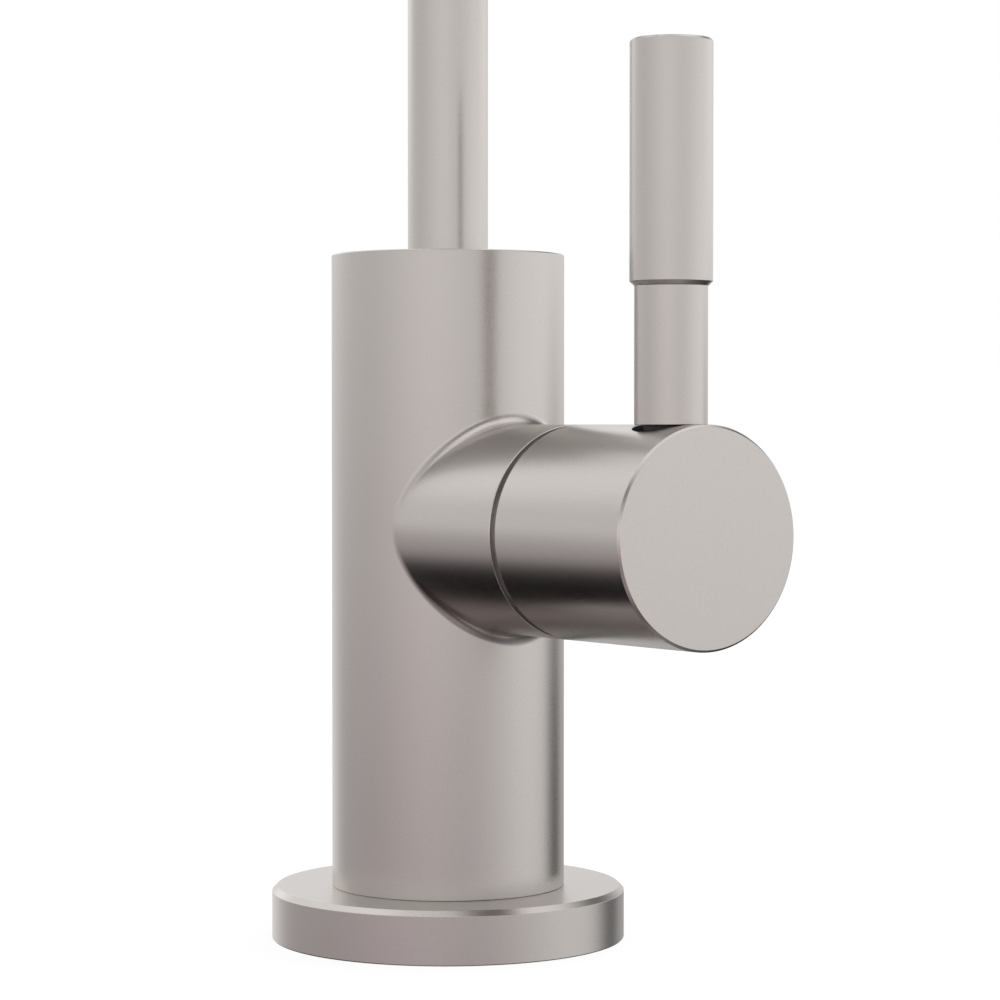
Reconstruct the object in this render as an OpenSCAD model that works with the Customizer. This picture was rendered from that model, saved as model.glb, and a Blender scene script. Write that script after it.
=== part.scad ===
// Gooseneck bar faucet with a side lever, for one hole in a sink deck.
// Millimetres. The deck's top face is z = 0, the column's axis is z, the handle's axis runs
// along +x and the spout reaches towards -y, where the user stands.

/* [Column] */
// Diameter of the column
body_d = 36.9; // [35:0.1:40]
// Height of the column above the base ring
body_h = 100; // [94:0.5:130]
// Break on the column's top edge
body_edge = 0.25; // [0.1:0.05:0.5]

/* [Base ring] */
// Diameter of the base ring
base_d = 56; // [54:0.5:66]
// Thickness of the base ring
base_h = 8.3; // [6.5:0.1:12]
// Chamfer on the ring's top edge
base_top_chamfer = 0.8; // [0.3:0.1:1.5]
// Chamfer on the ring's lower edge
base_foot_chamfer = 0.5; // [0.2:0.1:1.2]
// Distance from the ring's edge to the middle of the deck gasket
gasket_inset = 5; // [4:0.1:6]
// Width of the deck gasket
gasket_w = 4; // [2.5:0.1:5]
// Thickness of the deck gasket
gasket_t = 2.5; // [1.5:0.1:4]

/* [Handle boss and hub] */
// How far the boss, and the hub in line with it, lie inside the column's sides
hub_inset = 2.3; // [1.6:0.1:2.9]
// Distance from the column's top down to the handle's axis
hub_drop = 43; // [41:0.5:46]
// Distance from the column's axis to the boss's end face
boss_reach = 34.2; // [33.5:0.1:38]
// Width of the seam between boss and hub
seam_w = 1.3; // [0.9:0.1:2]
// Depth of the seam below the hub's surface
seam_depth = 0.6; // [0.3:0.1:1.2]
// Length of the handle hub
hub_len = 29.6; // [29:0.1:36]
// Chamfer on the hub's outer end
hub_edge = 0.35; // [0.1:0.05:0.8]
// Radius of the blend where the boss leaves the column
fillet_r = 2; // [1:0.1:2.5]

/* [Lever] */
// Distance from the hub's end face to the lever's axis
lever_setback = 8.55; // [7:0.05:10]
// Diameter of the lever's rod
rod_d = 10.6; // [9.8:0.1:11.2]
// Length of rod that shows between hub and grip
rod_len = 19.9; // [16:0.1:30]
// How far the grip stands out around the rod
grip_step = 0.7; // [0.5:0.1:1.5]
// Length of the grip
grip_len = 35.2; // [28:0.1:50]
// Chamfer on the grip's top edge
grip_edge = 0.35; // [0.1:0.05:0.8]
// Height of the bevel under the grip
grip_bevel = 0.6; // [0.3:0.1:1]
// Gap between the rod and the well in the hub
well_gap = 0.3; // [0.1:0.05:0.5]
// Depth of the well in the hub
well_depth = 1.4; // [1.2:0.1:2]
// How far the rod's foot lies below the hub's top line
rod_sink = 0.1; // [0.05:0.05:0.3]
// Diameter of the rod's foot in the well
rod_foot_d = 8; // [7:0.1:9]
// Diameter of the threaded studs at the rod's ends
stud_d = 6; // [5:0.1:6.5]
// Length of the threaded studs
stud_len = 9; // [7:0.1:10]

/* [Spout] */
// Diameter of the spout tube
tube_d = 12.7; // [12:0.1:13.5]
// Wall of the spout tube
tube_wall = 1; // [0.8:0.1:1.5]
// Height of the bend's centre above the column
spout_rise = 128; // [90:1:180]
// Radius of the gooseneck's bend, at the middle of the tube
bend_r = 70; // [50:1:100]
// Drop from the bend's centre to the outlet
spout_drop = 36; // [30:1:60]
// Wall of the outlet ferrule around the aerator
ferrule_wall = 1; // [0.8:0.1:2.5]
// Length of the outlet ferrule
ferrule_len = 20; // [18:0.5:28]
// Shoulder in the ferrule between the aerator and the tube's end
ferrule_shoulder = 1.5; // [1:0.1:2]
// Chamfer on the ferrule's edges
ferrule_edge = 0.5; // [0.2:0.1:0.8]

/* [Aerator] */
// Diameter of the thread that the aerator screws into
aerator_d = 15; // [14.6:0.1:15.4]
// How far the aerator lies inside the ferrule's mouth
aerator_recess = 0.3; // [0.1:0.1:0.8]
// Wall of the aerator housing
aerator_wall = 1.4; // [1:0.1:1.8]
// Width and thickness of the lip under the insert
aerator_lip = 0.9; // [0.6:0.1:1.2]
// Thickness of the honeycomb insert
comb_t = 3; // [2:0.1:3.4]
// Width of a honeycomb cell across its flats
comb_cell = 1.2; // [0.9:0.05:1.4]
// Wall between honeycomb cells
comb_wall = 0.35; // [0.25:0.05:0.5]
// Thickness of the flow disc
flow_disc_t = 1.6; // [1:0.1:1.8]
// Diameter of the flow disc's holes
flow_hole_d = 1.2; // [0.8:0.1:1.6]
// How far the housing stands above the flow disc
housing_rise = 1.2; // [0.6:0.1:1.5]
// Thickness of the aerator's rubber washer
aerator_washer_t = 1.5; // [1:0.1:2]
// Bore of the aerator's rubber washer
aerator_washer_bore = 10.2; // [9:0.1:11]

/* [Swivel joint] */
// Wall of the spout's foot around the tube
foot_wall = 3.15; // [2.9:0.05:3.6]
// Metal between the spout's socket and the cartridge's chamber
socket_floor = 4; // [3:0.1:5]
// How far the threaded collar that holds the spout in overlaps the socket's rim
collar_ledge = 1.5; // [1:0.1:2.5]
// Thickness of the collar
collar_t = 4; // [3:0.1:5]
// Diameter of the collar's two spanner holes
spanner_d = 1.6; // [1.2:0.1:2]
// Depth of the collar's spanner holes
spanner_depth = 2; // [1:0.1:2.5]
// Thickness of the glide washer under the collar
glide_t = 1; // [0.6:0.1:1.5]
// Length of tube held in the spout's foot
tube_hold = 8; // [6:0.1:8.6]
// Thickness of the spout's sealing rings
o_ring_t = 1.8; // [1.5:0.05:2]
// Play of a sealing ring along its groove, to each side
o_ring_slack = 0.3; // [0.2:0.05:0.5]
// Height of the lower groove above the foot's end
o_ring_rise = 3; // [2:0.1:3.5]
// Distance between the two grooves
o_ring_pitch = 6; // [5:0.1:6.5]

/* [Cartridge] */
// Wall of the boss around the chamber
boss_wall = 3.15; // [2.8:0.05:3.3]
// Metal between the chamber's floor and the waterways
chamber_floor = 4.25; // [3.5:0.05:4.5]
// Thickness of the cartridge's base plate
plate_t = 4; // [3:0.1:4.4]
// Rim of the base plate around the rubber port seal
seal_rim = 2.45; // [2.2:0.05:2.9]
// Thickness of the rubber port seal
seal_t = 1.2; // [0.8:0.1:1.6]
// Diameter of the base plate's two locating pegs
peg_d = 1.8; // [1.4:0.1:2]
// Length of the locating pegs
peg_len = 1.5; // [1:0.1:2.5]
// Wall of the barrel around the fixed disc
barrel_wall = 1.95; // [1.75:0.05:2.2]
// Thickness of each ceramic disc
disc_t = 3.5; // [3:0.1:3.8]
// Distance of the two inlet ports from the disc's centre
port_r = 7; // [6.8:0.1:7.5]
// Diameter of the inlet ports
port_d = 4.2; // [3.6:0.1:4.4]
// Diameter of the outlet port at the centre
outlet_port_d = 6; // [5:0.1:6.4]
// Depth of the water pocket in the moving disc
pocket_depth = 1.8; // [1:0.1:2]
// Thickness of the disc driver
driver_t = 3; // [2.5:0.1:3.2]
// Height of the driver's lugs
lug_h = 1.1; // [0.8:0.1:1.3]
// Width of the driver's lugs
lug_w = 2.4; // [2:0.1:3]
// Length of the driver's lugs
lug_len = 4; // [3:0.1:5]
// Diameter of the valve stem
stem_d = 9; // [8:0.1:9.6]
// Width across the square tang at the stem's foot
tang_w = 6; // [5:0.1:6.3]
// Diameter of the flange above the tang
flange_d = 13; // [12:0.1:15]
// Thickness of that flange
flange_t = 1.2; // [1:0.1:1.5]
// Thickness of the barrel's end wall
barrel_end_t = 2.5; // [2:0.1:3]
// Diameter of the barrel's neck
neck_d = 15; // [14:0.1:16]
// How far the neck stands out past the boss's end face
neck_reach = 2.4; // [1.6:0.1:3]
// How far the cartridge nut lies inside the boss's mouth
nut_inset = 2.34; // [1.6:0.02:4]
// Width of the hex recess in the cartridge nut
cartridge_hex_w = 19; // [18:0.1:20]
// Depth of the hex recess
cartridge_hex_depth = 3; // [2:0.1:4]
// Thickness of the stem's sealing ring
stem_ring_t = 1.4; // [1:0.1:1.6]

/* [Handle fixing] */
// Bore of the hub around the barrel's neck
hub_recess_d = 20; // [18:0.1:22]
// Depth of that bore
hub_recess_depth = 3; // [2.6:0.1:4]
// Length of stem held in the hub
stem_hold = 11.5; // [10:0.1:12]
// Depth of the flat on the stem
flat_depth = 1; // [0.6:0.1:1.5]
// Diameter of the set screw under the hub
screw_d = 5; // [4:0.1:6]
// Length of the set screw
screw_len = 9; // [7:0.1:10]
// Distance from the hub's inner end to the set screw
screw_inset = 9.5; // [8:0.1:11]
// Width of the set screw's hex socket
screw_hex_w = 2.5; // [2:0.1:3]
// Depth of the set screw's hex socket
screw_hex_depth = 2.5; // [1.5:0.1:3.5]

/* [Supply ports] */
// Diameter of the two tapped ports for the supply hoses
inlet_d = 9; // [8:0.1:9.4]
// Depth of the tapped ports
inlet_depth = 12; // [9:0.1:15]
// Distance between the two ports
inlet_pitch = 12.4; // [11.6:0.1:13]
// Diameter of the waterways in the column
waterway_d = 5.5; // [5:0.1:6]
// Diameter of the waterway up to the spout
riser_way_d = 7; // [6:0.1:8]

/* [Mounting hardware] */
// Outer diameter of the threaded shank
shank_d = 30; // [28:0.1:31]
// Wall of the shank
shank_wall = 3; // [2.5:0.1:3.7]
// Length of shank screwed into the column
shank_hold = 10; // [7:0.1:14]
// Length of shank below the deck's top face
shank_len = 58; // [50:1:80]
// Thickness of the deck that the hardware is drawn up to
deck_t = 25; // [1:1:30]
// Diameter of the rubber washer under the deck
rubber_d = 48; // [42:0.5:56]
// Thickness of the rubber washer
rubber_t = 3; // [2:0.1:5]
// Diameter of the steel washer
washer_d = 46; // [42:0.5:54]
// Thickness of the steel washer
washer_t = 2; // [1:0.1:3]
// Width of the mounting nut across its flats
nut_w = 41; // [38:0.5:46]
// Height of the mounting nut
nut_h = 10; // [7:0.1:14]
// Chamfer on the mounting nut's corners
nut_edge = 1.2; // [0.5:0.1:2]

/* [Fits] */
// Radial gap between pieces that screw or press together
fit_gap = 0.05; // [0.02:0.01:0.08]
// Radial gap between pieces that turn in each other
running_gap = 0.06; // [0.03:0.01:0.1]
// Gap between flat faces that turn past each other
face_gap = 0.08; // [0.04:0.01:0.15]
// Radial gap of loose washers around the shank
loose_gap = 0.25; // [0.1:0.05:0.5]
// Clearance left at the blind end of a hole
end_gap = 0.4; // [0.2:0.05:0.6]

/* [Hidden] */
$fn = 120;

// Finishes
nickel = "#bcb7b2";
brass = "#c9a860";
steel = "#a9abad";
rubber = "#2a2a2b";
acetal = "#3a3a3c";
nylon = "#d9d6cc";
ceramic = "#efe9dc";

// One overrun serves every cut
overrun = 1;
// Depth that the blend's edges sink into the column and the boss, and its root further in
blend_sink = 0.1;
blend_root = 1;
// Sections around the blend, and facets across it
blend_sections = 72;
blend_facets = 6;

// Column and handle axis
column_top = base_h + body_h;
gasket_d = base_d - 2 * gasket_inset;
hub_d = body_d - 2 * hub_inset;
hub_z = column_top - hub_drop;
hub_x = boss_reach + seam_w;
hub_end = hub_x + hub_len;
hub_top = hub_z + hub_d / 2;

// Lever
lever_x = hub_end - lever_setback;
well_floor = hub_top - well_depth;
rod_bottom = hub_top - rod_sink;
grip_bottom = hub_top + rod_len;
grip_d = rod_d + 2 * grip_step;
well_d = rod_d + 2 * well_gap;

// Cartridge, stacked outwards from the chamber's floor
floor_x = waterway_d / 2 + chamber_floor;
fixed_x = floor_x + plate_t;
moving_x = fixed_x + disc_t + face_gap;
driver_x = moving_x + disc_t;
flange_x = driver_x + driver_t;
barrel_end_x = flange_x + flange_t + face_gap;
cartridge_nut_x = barrel_end_x + barrel_end_t;
cartridge_nut_h = boss_reach - nut_inset - cartridge_nut_x;
stem_bore = stem_d + 2 * running_gap;
stem_end = hub_x + hub_recess_depth + stem_hold;
stem_ring_x = (cartridge_nut_x + boss_reach) / 2;
stem_groove_w = stem_ring_t + 2 * fit_gap;
chamber_d = hub_d - 2 * boss_wall;
barrel_d = chamber_d - 2 * fit_gap;
disc_d = barrel_d - 2 * barrel_wall;
seal_d = barrel_d - 2 * seal_rim;
moving_d = disc_d - 2 * end_gap;
driver_d = moving_d - 2 * end_gap;
lug_r = driver_d / 2 - lug_len;
lug_angles = [90, 270];
peg_r = (chamber_d + seal_d) / 4;
peg_angles = [30, 150];
paired_angles = [0, 180];
// Cold opens first as the lever comes forward, then both, then hot alone
lever_travel = 90;
inlet_angles = [270 - lever_travel / 4, 270 + lever_travel / 4];
pocket_angle = inlet_angles[0] - lever_travel / 2;

// Swivel joint, from the column's top down
collar_z = column_top - collar_t;
shoulder_z = collar_z - glide_t - face_gap;
socket_z = hub_z + chamber_d / 2 + socket_floor;
socket_d = tube_d + 2 * foot_wall;
collar_d = socket_d + 2 * collar_ledge;
foot_z = socket_z + end_gap;
foot_d = socket_d - 2 * running_gap;
o_ring_r = (socket_d - o_ring_t) / 2 - fit_gap;
o_groove_d = 2 * (o_ring_r - o_ring_t / 2 - fit_gap);
o_groove_w = o_ring_t + 2 * o_ring_slack;
o_ring_z = foot_z + o_ring_rise;
tube_z = shoulder_z - tube_hold;

// Gooseneck
tube_bore = tube_d - 2 * tube_wall;
bend_z = column_top + spout_rise;
spout_y = -2 * bend_r;
outlet_z = bend_z - spout_drop;

// Aerator, stacked upwards from the ferrule's mouth
aerator_z = outlet_z + aerator_recess;
comb_z = aerator_z + aerator_lip;
flow_disc_z = comb_z + comb_t;
aerator_top = flow_disc_z + flow_disc_t + housing_rise;
pocket_top = aerator_top + aerator_washer_t;
tube_end_z = pocket_top + ferrule_shoulder;
ferrule_d = aerator_d + 2 * ferrule_wall;
comb_d = aerator_d - 2 * (aerator_wall + 2 * fit_gap);
comb_pitch = comb_cell + comb_wall;
comb_rings = 4;
flow_holes = 6;

// Shank and hardware below the deck
shank_top = base_h + shank_hold;
shank_bore = shank_d - 2 * shank_wall;
washer_bore = shank_d + 2 * loose_gap;
rubber_z = -deck_t - rubber_t;
washer_z = rubber_z - washer_t;
nut_z = washer_z - nut_h;

// Places what is drawn on the x-y plane square to the handle's axis, with its up along z
module on_hub_axis(x) translate([x, 0, hub_z]) rotate([90, 0, 90]) children();

// Places what is drawn at the origin on the spout's outlet axis
module on_outlet(z) translate([0, spout_y, z]) children();

// A round bar with a chamfer at its foot and one at its head
module turned(d, h, foot = 0, head = 0) {
    r = d / 2;
    rotate_extrude() polygon(concat(
        [[0, 0]],
        foot > 0 ? [[r - foot, 0], [r, foot]] : [[r, 0]],
        head > 0 ? [[r, h - head], [r - head, h]] : [[r, h]],
        [[0, h]]));
}

// A plain ring
module ring(d, bore, h) difference() {
    cylinder(d = d, h = h);
    translate([0, 0, -overrun]) cylinder(d = bore, h = h + 2 * overrun);
}

// A rubber ring of round section
module sealing_ring(r, t) rotate_extrude() translate([r, 0]) circle(d = t);

// Copies around an axis, at a radius
module around(angles, r) for (a = angles) rotate(a) translate([r, 0, 0]) children();

// The three ports that every plate in the cartridge shares
module port_cuts(h) translate([0, 0, -overrun]) {
    cylinder(d = outlet_port_d, h = h + 2 * overrun);
    around(inlet_angles, port_r) cylinder(d = port_d, h = h + 2 * overrun);
}

module base_ring() color(nickel) difference() {
    turned(base_d, base_h, base_foot_chamfer, base_top_chamfer);
    translate([0, 0, -overrun]) cylinder(d = washer_bore, h = base_h + 2 * overrun);
    translate([0, 0, -overrun])
        ring(gasket_d + gasket_w + 2 * fit_gap, gasket_d - gasket_w - 2 * fit_gap, gasket_t + overrun);
}

module deck_gasket() color(rubber) ring(gasket_d + gasket_w, gasket_d - gasket_w, gasket_t);

// The blend between boss and column is the path of a ball that rolls round the joint and
// touches both. Its centre stays one ball radius off each surface, and each section is the
// arc between the two points of contact, closed by a corner inside both.
column_r = body_d / 2;
boss_r = hub_d / 2;
ball_column_r = column_r + fillet_r - blend_sink;
ball_boss_r = boss_r + fillet_r - blend_sink;

function ball_centre(a) = let(y = ball_boss_r * cos(a))
    [sqrt(ball_column_r ^ 2 - y ^ 2), y, ball_boss_r * sin(a)];
function to_column(a) = let(c = ball_centre(a)) [-c[0], -c[1], 0] / ball_column_r;
function to_boss(a) = [0, -cos(a), -sin(a)];
function blend_turn(a) = acos(to_column(a) * to_boss(a));
function between(u, v, turn, share) =
    (sin((1 - share) * turn) * u + sin(share * turn) * v) / sin(turn);
function blend_corner(a) = let(y = (boss_r - blend_root) * cos(a))
    [sqrt(column_r ^ 2 - y ^ 2) - blend_root, y, (boss_r - blend_root) * sin(a)];
function blend_section(a) = concat(
    [for (i = [0 : blend_facets])
        ball_centre(a) + fillet_r * between(to_column(a), to_boss(a), blend_turn(a), i / blend_facets)],
    [blend_corner(a)]);

module boss_blend() {
    sections = [for (i = [0 : blend_sections - 1]) blend_section(360 * i / blend_sections)];
    m = blend_facets + 2;
    function at(i, j) = (i % blend_sections) * m + j % m;
    translate([0, 0, hub_z]) polyhedron(
        points = [for (s = sections) each s],
        faces = [for (i = [0 : blend_sections - 1], j = [0 : m - 1])
            each [[at(i, j), at(i, j + 1), at(i + 1, j)],
                [at(i, j + 1), at(i + 1, j + 1), at(i + 1, j)]]]);
}

// Column, boss and blend are one casting, drilled for the water's way
module body() color(nickel) difference() {
    union() {
        translate([0, 0, base_h]) turned(body_d, body_h, 0, body_edge);
        on_hub_axis(0) cylinder(d = hub_d, h = boss_reach);
        boss_blend();
    }
    translate([0, 0, base_h - overrun])
        cylinder(d = shank_d + 2 * fit_gap, h = shank_hold + overrun);
    for (side = [-1, 1]) translate([0, side * inlet_pitch / 2, shank_top - overrun]) {
        cylinder(d = inlet_d, h = inlet_depth + overrun);
        cylinder(d = waterway_d,
            h = hub_z + port_r * sin(inlet_angles[0]) + waterway_d / 2 - shank_top + overrun);
    }
    on_hub_axis(floor_x) {
        cylinder(d = chamber_d, h = boss_reach - floor_x + overrun);
        translate([0, 0, -floor_x - waterway_d / 2]) {
            around(inlet_angles, port_r) cylinder(d = port_d, h = floor_x + waterway_d);
            cylinder(d = outlet_port_d, h = floor_x + waterway_d);
        }
        translate([0, 0, -peg_len - end_gap]) around(peg_angles, peg_r)
            cylinder(d = peg_d + 2 * fit_gap, h = peg_len + end_gap + overrun);
    }
    translate([0, 0, hub_z]) cylinder(d = riser_way_d, h = socket_z - hub_z + overrun);
    translate([0, 0, socket_z]) cylinder(d = socket_d, h = column_top - socket_z + overrun);
    translate([0, 0, collar_z]) cylinder(d = collar_d + 2 * fit_gap, h = collar_t + overrun);
}

module mounting_shank() color(brass) translate([0, 0, -shank_len])
    ring(shank_d, shank_bore, shank_len + shank_top);

module rubber_washer() color(rubber) translate([0, 0, rubber_z])
    ring(rubber_d, washer_bore, rubber_t);

module steel_washer() color(steel) translate([0, 0, washer_z])
    ring(washer_d, washer_bore, washer_t);

module mounting_nut() color(brass) translate([0, 0, nut_z]) difference() {
    intersection() {
        cylinder(d = nut_w / cos(30), h = nut_h, $fn = 6);
        turned(nut_w / cos(30), nut_h, nut_edge, nut_edge);
    }
    translate([0, 0, -overrun]) cylinder(d = shank_d + 2 * fit_gap, h = nut_h + 2 * overrun);
}

module port_seal() color(rubber) on_hub_axis(floor_x) difference() {
    cylinder(d = seal_d, h = seal_t);
    port_cuts(seal_t);
}

module cartridge_base() color(nylon) on_hub_axis(floor_x) {
    difference() {
        cylinder(d = barrel_d, h = plate_t);
        translate([0, 0, -overrun]) cylinder(d = seal_d + 2 * fit_gap, h = seal_t + overrun);
        port_cuts(plate_t);
    }
    translate([0, 0, -peg_len]) around(peg_angles, peg_r) cylinder(d = peg_d, h = peg_len + seal_t);
}

// The fixed disc is keyed to the barrel by two notches in its rim
module key_bars(d, h) around(paired_angles, disc_d / 2) cylinder(d = d, h = h);

module fixed_disc() color(ceramic) on_hub_axis(fixed_x) difference() {
    cylinder(d = disc_d, h = disc_t);
    port_cuts(disc_t);
    translate([0, 0, -overrun]) key_bars(lug_w + 2 * fit_gap, disc_t + 2 * overrun);
}

// The pocket joins the outlet at the centre to whichever inlet lies under its arm
module moving_disc() color(ceramic) on_hub_axis(moving_x) difference() {
    cylinder(d = moving_d, h = disc_t);
    translate([0, 0, -overrun]) {
        cylinder(d = outlet_port_d, h = pocket_depth + overrun);
        rotate(pocket_angle) {
            translate([port_r, 0, 0]) cylinder(d = port_d, h = pocket_depth + overrun);
            translate([0, -port_d / 2, 0]) cube([port_r, port_d, pocket_depth + overrun]);
        }
    }
    translate([0, 0, disc_t - lug_h]) driver_lugs(fit_gap, lug_h + overrun);
}

module driver_lugs(gap, h) around(lug_angles, lug_r)
    translate([-lug_len / 2 - gap, -lug_w / 2 - gap, 0]) cube([lug_len + 2 * gap, lug_w + 2 * gap, h]);

module disc_driver() color(acetal) on_hub_axis(driver_x) difference() {
    union() {
        cylinder(d = driver_d, h = driver_t);
        translate([0, 0, fit_gap - lug_h]) driver_lugs(0, lug_h);
    }
    translate([0, 0, driver_t / 2]) cube([tang_w + 2 * fit_gap, tang_w + 2 * fit_gap, 2 * driver_t], true);
}

// Tang, flange and stem, with a groove for the seal and a flat for the set screw
module valve_stem() color(brass) difference() {
    union() {
        on_hub_axis(driver_x + driver_t / 2) cube([tang_w, tang_w, driver_t], true);
        on_hub_axis(flange_x) cylinder(d = flange_d, h = flange_t);
        on_hub_axis(flange_x) cylinder(d = stem_d, h = stem_end - flange_x);
    }
    on_hub_axis(stem_ring_x - stem_groove_w / 2)
        ring(stem_d + 2 * overrun, stem_bore - 4 * fit_gap - 2 * stem_ring_t, stem_groove_w);
    translate([hub_x + hub_recess_depth, -stem_d / 2, hub_z - stem_d / 2 - overrun])
        cube([stem_hold + overrun, stem_d, flat_depth + overrun]);
}

module stem_o_ring() color(rubber) on_hub_axis(stem_ring_x)
    sealing_ring((stem_bore - stem_ring_t) / 2 - fit_gap, stem_ring_t);

module cartridge_barrel() color(acetal) {
    on_hub_axis(fixed_x) difference() {
        cylinder(d = barrel_d, h = cartridge_nut_x - fixed_x);
        translate([0, 0, -overrun]) cylinder(d = disc_d + 2 * fit_gap, h = barrel_end_x - fixed_x + overrun);
        cylinder(d = stem_bore, h = boss_reach);
    }
    on_hub_axis(fixed_x) key_bars(lug_w, disc_t);
    on_hub_axis(cartridge_nut_x) ring(neck_d, stem_bore, boss_reach + neck_reach - cartridge_nut_x);
}

module cartridge_nut() color(brass) on_hub_axis(cartridge_nut_x) difference() {
    cylinder(d = barrel_d, h = cartridge_nut_h);
    translate([0, 0, -overrun]) cylinder(d = neck_d + 2 * fit_gap, h = cartridge_nut_h + 2 * overrun);
    translate([0, 0, cartridge_nut_h - cartridge_hex_depth])
        cylinder(d = cartridge_hex_w / cos(30), h = cartridge_hex_depth + overrun, $fn = 6);
}

// A dark glide ring fills the seam, centred by a spigot in the chamber's mouth
module seam_ring() color(acetal) difference() {
    union() {
        on_hub_axis(boss_reach) cylinder(d = hub_d - 2 * seam_depth, h = seam_w - face_gap);
        on_hub_axis(boss_reach - seam_w / 2) cylinder(d = barrel_d, h = seam_w);
    }
    on_hub_axis(boss_reach - seam_w) cylinder(d = hub_recess_d, h = 3 * seam_w);
}

module handle_hub() color(nickel) difference() {
    on_hub_axis(hub_x) turned(hub_d, hub_len, 0, hub_edge);
    on_hub_axis(hub_x - overrun) cylinder(d = hub_recess_d, h = hub_recess_depth + overrun);
    on_hub_axis(hub_x) cylinder(d = stem_d + 2 * fit_gap, h = hub_recess_depth + stem_hold + end_gap);
    translate([hub_x + screw_inset, 0, hub_z - hub_d]) cylinder(d = screw_d + 2 * fit_gap, h = hub_d);
    translate([lever_x, 0, well_floor]) cylinder(d = well_d, h = well_depth + overrun);
    translate([lever_x, 0, well_floor - stud_len - end_gap])
        cylinder(d = stud_d + 2 * fit_gap, h = stud_len + end_gap + overrun);
}

module hub_set_screw() color(steel)
    translate([hub_x + screw_inset, 0, hub_z - stem_d / 2 + flat_depth - fit_gap - screw_len])
    difference() {
        cylinder(d = screw_d, h = screw_len);
        translate([0, 0, -overrun])
            cylinder(d = screw_hex_w / cos(30), h = screw_hex_depth + overrun, $fn = 6);
    }

module lever_rod() color(nickel) translate([lever_x, 0, 0]) {
    translate([0, 0, rod_bottom]) cylinder(d = rod_d, h = grip_bottom - rod_bottom);
    translate([0, 0, well_floor]) cylinder(d = rod_foot_d, h = rod_bottom - well_floor);
    translate([0, 0, well_floor - stud_len]) cylinder(d = stud_d, h = stud_len);
    translate([0, 0, grip_bottom]) cylinder(d = stud_d, h = stud_len);
}

module lever_grip() color(nickel) translate([lever_x, 0, grip_bottom]) difference() {
    union() {
        cylinder(d1 = rod_d + 2 * fit_gap, d2 = grip_d, h = grip_bevel);
        translate([0, 0, grip_bevel]) turned(grip_d, grip_len - grip_bevel, 0, grip_edge);
    }
    translate([0, 0, -overrun]) cylinder(d = stud_d + 2 * fit_gap, h = stud_len + end_gap + overrun);
}

// The tube is brazed into a turned foot that seals and turns in the column
module spout_foot() color(brass) difference() {
    translate([0, 0, foot_z]) cylinder(d = foot_d, h = shoulder_z - foot_z);
    translate([0, 0, foot_z - overrun]) cylinder(d = tube_bore, h = tube_z - foot_z + 2 * overrun);
    translate([0, 0, tube_z]) cylinder(d = tube_d + 2 * fit_gap, h = tube_hold + overrun);
    for (i = [0, 1]) translate([0, 0, o_ring_z + i * o_ring_pitch])
        ring(socket_d + overrun, o_groove_d, o_groove_w);
}

module spout_o_rings() color(rubber) for (i = [0, 1])
    translate([0, 0, o_ring_z + i * o_ring_pitch + o_groove_w / 2]) sealing_ring(o_ring_r, o_ring_t);

module glide_washer() color(nylon) translate([0, 0, collar_z - glide_t])
    ring(socket_d - 2 * fit_gap, tube_d + 2 * running_gap, glide_t);

module spout_collar() color(nickel) translate([0, 0, collar_z]) difference() {
    ring(collar_d, tube_d + 2 * running_gap, collar_t);
    translate([0, 0, collar_t - spanner_depth]) around(paired_angles, (collar_d + tube_d) / 4)
        cylinder(d = spanner_d, h = spanner_depth + overrun);
}

// Riser, half-round bend and drop of one pipe
module gooseneck(d, past) {
    translate([0, 0, tube_z - past]) cylinder(d = d, h = bend_z - tube_z + past);
    translate([0, -bend_r, bend_z]) rotate([90, 0, 90])
        rotate_extrude(angle = 180) translate([bend_r, 0]) circle(d = d);
    on_outlet(tube_end_z - past) cylinder(d = d, h = bend_z - tube_end_z + past);
}

module spout_tube() color(nickel) difference() {
    gooseneck(tube_d, 0);
    gooseneck(tube_bore, overrun);
}

module outlet_ferrule() color(nickel) on_outlet(outlet_z) difference() {
    turned(ferrule_d, ferrule_len, ferrule_edge, ferrule_edge);
    translate([0, 0, -overrun])
        cylinder(d = aerator_d + 2 * fit_gap, h = pocket_top - outlet_z + overrun);
    cylinder(d = tube_bore, h = ferrule_len);
    translate([0, 0, tube_end_z - outlet_z]) cylinder(d = tube_d + 2 * fit_gap, h = ferrule_len);
}

module aerator_washer() color(rubber) on_outlet(aerator_top)
    ring(aerator_d, aerator_washer_bore, aerator_washer_t);

module aerator_housing() color(steel) on_outlet(aerator_z) difference() {
    cylinder(d = aerator_d, h = aerator_top - aerator_z);
    translate([0, 0, -overrun])
        cylinder(d = comb_d - 2 * aerator_lip, h = aerator_lip + 2 * overrun);
    translate([0, 0, aerator_lip]) cylinder(d = comb_d + 2 * fit_gap, h = aerator_top - aerator_z);
}

module flow_disc() color(nylon) on_outlet(flow_disc_z) difference() {
    cylinder(d = comb_d, h = flow_disc_t);
    translate([0, 0, -overrun]) around([for (i = [1 : flow_holes]) 360 * i / flow_holes], comb_d / 4)
        cylinder(d = flow_hole_d, h = flow_disc_t + 2 * overrun);
}

// Hexagonal cells, kept where they lie whole inside the lip
module aerator_comb() color(nylon) on_outlet(comb_z) difference() {
    cylinder(d = comb_d, h = comb_t);
    for (q = [-comb_rings : comb_rings], s = [-comb_rings : comb_rings]) {
        place = comb_pitch * [s * sin(60), q + s / 2];
        if (norm(place) < comb_d / 2 - aerator_lip - comb_cell / 2)
            translate([place[0], place[1], -overrun])
                cylinder(d = comb_cell / cos(30), h = comb_t + 2 * overrun, $fn = 6);
    }
}

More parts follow.
